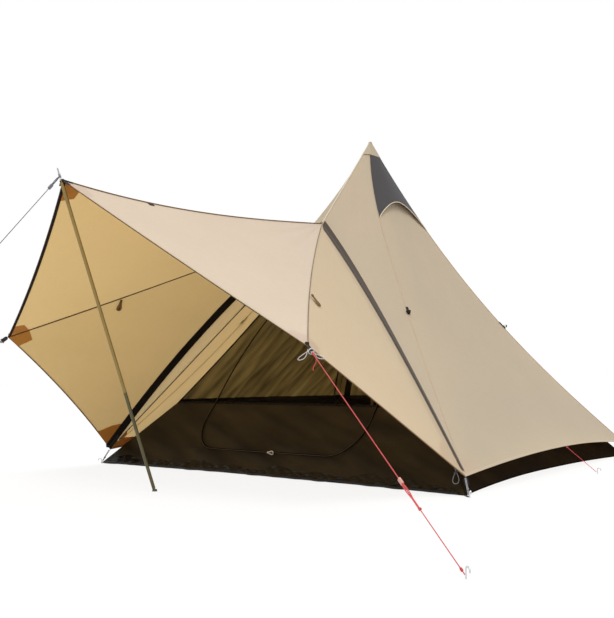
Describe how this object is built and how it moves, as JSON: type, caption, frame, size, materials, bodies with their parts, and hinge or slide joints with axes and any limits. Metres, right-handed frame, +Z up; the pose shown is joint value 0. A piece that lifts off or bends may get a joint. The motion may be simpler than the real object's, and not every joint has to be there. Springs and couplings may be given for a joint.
{
  "type": "sun shelter tent",
  "caption": "Square one-pole pyramid tent with a propped front awning, a dark inner tent behind it, vent hoods, zips, guylines and pegs.",
  "frame": {"origin": "on the ground, in the middle of the floor of the inner tent", "axes": "+Z up, the awning and door face -Y, +X is the side with the long red guyline"},
  "size_m": [3.8943, 5.0389, 2.56],
  "materials": {
    "fly_cloth": "matt sand-coloured tent cloth, light shines through it",
    "awning_cloth": "the same cloth in full light",
    "dark_trim": "dark grey-brown webbing and flaps",
    "vent_cloth": "dark grey tent cloth",
    "mesh_cloth": "fine dark insect mesh",
    "inner_cloth": "thin olive-brown inner tent cloth",
    "floor_cloth": "coated near-black floor cloth",
    "pole_steel": "satin olive-grey painted steel tube",
    "peg_steel": "plain steel",
    "black_plastic": "matt black moulded plastic",
    "red_line": "braided red line",
    "grey_line": "braided grey line"
  },
  "bodies": {
    "tent": {"awning_pole_foot": "black_plastic", "awning_pole_lower": "pole_steel", "awning_pole_middle": "pole_steel", "awning_pole_upper": "pole_steel", "awning_roof_left": "awning_cloth", "awning_roof_right": "awning_cloth", "awning_wing_left": "awning_cloth", "awning_wing_right": "awning_cloth", "centre_pole_lower": "pole_steel", "centre_pole_middle": "pole_steel", "centre_pole_upper": "pole_steel", "corner_elastic_left": "grey_line", "corner_elastic_right": "grey_line", "corner_peg_back_left": "peg_steel", "corner_peg_back_right": "peg_steel", "corner_peg_front_left": "peg_steel", "corner_peg_front_right": "peg_steel", "corner_tab_back_left": "dark_trim", "corner_tab_back_right": "dark_trim", "corner_tab_front_left": "dark_trim", "corner_tab_front_right": "dark_trim", "door_strip_left": "fly_cloth", "door_strip_right": "fly_cloth", "fly_back_panel": "fly_cloth", "fly_left_panel": "fly_cloth", "fly_right_panel": "fly_cloth", "front_panel_left": "fly_cloth", "front_panel_right": "fly_cloth", "groundsheet": "floor_cloth", "guy_left": "grey_line", "guy_peg_right": "peg_steel", "guy_pole": "grey_line", "guy_right": "red_line", "inner_back_panel": "inner_cloth", "inner_back_wall": "floor_cloth", "inner_door_zip": "black_plastic", "inner_front_mesh": "mesh_cloth", "inner_front_wall": "floor_cloth", "inner_left_panel": "inner_cloth", "inner_left_wall": "floor_cloth", "inner_right_panel": "inner_cloth", "inner_right_wall": "floor_cloth", "peak_cup": "dark_trim", "side_guy_right": "red_line", "side_peg_right": "peg_steel", "storm_flap_left": "dark_trim", "storm_flap_right": "dark_trim", "vent_hood_left": "vent_cloth", "vent_hood_right": "vent_cloth", "vent_mesh_left": "mesh_cloth", "vent_mesh_right": "mesh_cloth", "wing_tab_left": "dark_trim", "wing_tab_right": "dark_trim"},
    "door_slider_right": {"door_slider_right": "black_plastic"},
    "door_slider_left": {"door_slider_left": "black_plastic"},
    "inner_door_slider": {"inner_door_slider": "black_plastic"},
    "guy_runner_right": {"guy_runner_right": "black_plastic"},
    "guy_runner_pole": {"guy_runner_pole": "black_plastic"},
    "tie_toggle_right": {"tie_toggle_right": "dark_trim"},
    "tie_toggle_left": {"tie_toggle_left": "dark_trim"}
  },
  "joints": [
    {"name": "door_zip_right_slide", "type": "slide", "parent": "tent", "child": "door_slider_right", "axis": [0.6307, -0.3276, -0.7035], "range_m": [-0.62, 1.33]},
    {"name": "door_zip_left_slide", "type": "slide", "parent": "tent", "child": "door_slider_left", "axis": [-0.6151, -0.3222, -0.7196], "range_m": [-0.6, 1.3]},
    {"name": "inner_door_zip_slide", "type": "slide", "parent": "tent", "child": "inner_door_slider", "axis": [1, 0, 0], "range_m": [-0.49, 0.43]},
    {"name": "guy_runner_right_slide", "type": "slide", "parent": "tent", "child": "guy_runner_right", "axis": [0.7363, -0.4422, -0.5122], "range_m": [-0.85, 0.42]},
    {"name": "guy_runner_pole_slide", "type": "slide", "parent": "tent", "child": "guy_runner_pole", "axis": [0, -0.6417, -0.7669], "range_m": [-0.055, 0.5]},
    {"name": "tie_toggle_right_swing", "type": "hinge", "parent": "tent", "child": "tie_toggle_right", "pos_m": [0.79867, -1.94561, 1.10142], "axis": [0.7723, 0.1767, 0.6102], "range_deg": [-60, 60]},
    {"name": "tie_toggle_left_swing", "type": "hinge", "parent": "tent", "child": "tie_toggle_left", "pos_m": [-0.7737, -1.95247, 1.16308], "axis": [-0.7884, 0.2521, 0.5611], "range_deg": [-60, 60]}
  ]
}
